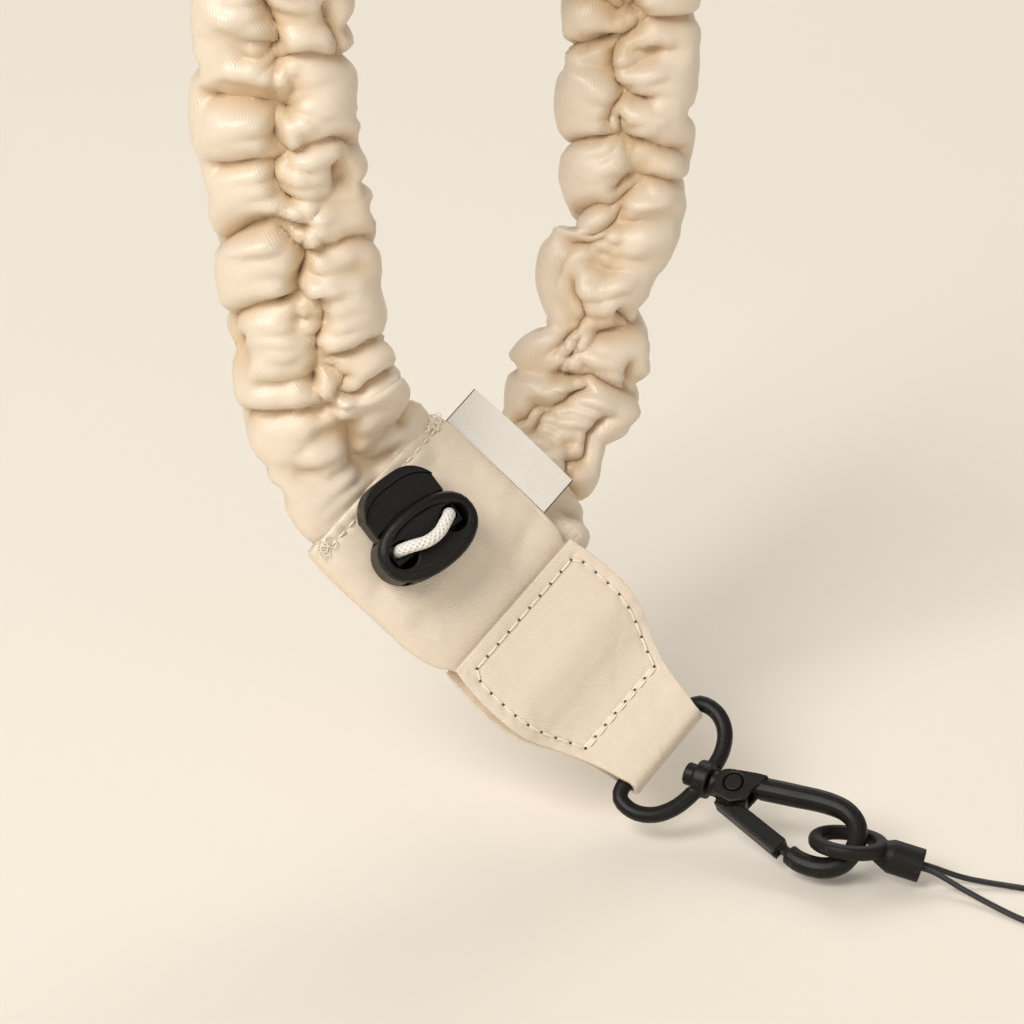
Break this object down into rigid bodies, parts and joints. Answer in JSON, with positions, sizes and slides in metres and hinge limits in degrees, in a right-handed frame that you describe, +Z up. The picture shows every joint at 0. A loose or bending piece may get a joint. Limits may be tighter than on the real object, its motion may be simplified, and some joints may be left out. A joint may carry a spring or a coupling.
{
  "type": "wrist strap",
  "caption": "Ruched satin wrist strap with a drawcord and cord lock, a swivel trigger hook and a thin cord loop for a small device.",
  "frame": {"origin": "the hang point: inner top of the wrist loop, under the middle of its arch, where a hand or a peg holds the strap", "axes": "+Z up along the hanging strap, +X to the right of the front view and +Y away from the viewer"},
  "size_m": [0.1751, 0.1123, 0.2044],
  "materials": {
    "satin": "satin weave, soft sheen",
    "label_cloth": "woven",
    "white_cord": "braided",
    "black_cord": "braided",
    "black_plastic": "matte",
    "black_rubber": "matte moulded",
    "black_metal": "matte black coating"
  },
  "bodies": {
    "strap": {"ruched_sleeve": "satin", "cord_panel": "satin", "tab": "satin", "label": "label_cloth", "drawcord": "white_cord", "cord_lock_body": "black_plastic"},
    "lock_button": {"cord_lock_button": "black_plastic"},
    "ring": {"swivel_ring": "black_metal"},
    "hook": {"snap_hook": "black_metal", "gate_pin": "black_metal", "loop_connector": "black_rubber", "phone_cord": "black_cord"},
    "gate": {"gate": "black_metal"}
  },
  "joints": [
    {"name": "button_press", "type": "slide", "parent": "strap", "child": "lock_button", "axis": [0.5942, -0.2595, -0.7613], "range_m": [0, 0.003], "stiffness_N_per_m": 300, "springref_m": -0.004},
    {"name": "ring_hinge", "type": "hinge", "parent": "strap", "child": "ring", "pos_m": [0.03579, -0.03119, -0.17297], "axis": [0.6359, 0.5212, 0.5692], "range_deg": [-100, 70]},
    {"name": "hook_swivel", "type": "hinge", "parent": "ring", "child": "hook", "pos_m": [0.0445, -0.03674, -0.17663], "axis": [0.8614, -0.4977, -0.1014], "continuous": true},
    {"name": "gate_hinge", "type": "hinge", "parent": "hook", "child": "gate", "pos_m": [0.04994, -0.03951, -0.17702], "axis": [-0.2216, -0.5479, 0.8066], "range_deg": [0, 12], "stiffness_Nm_per_rad": 0.02, "springref_deg": -17.19}
  ]
}
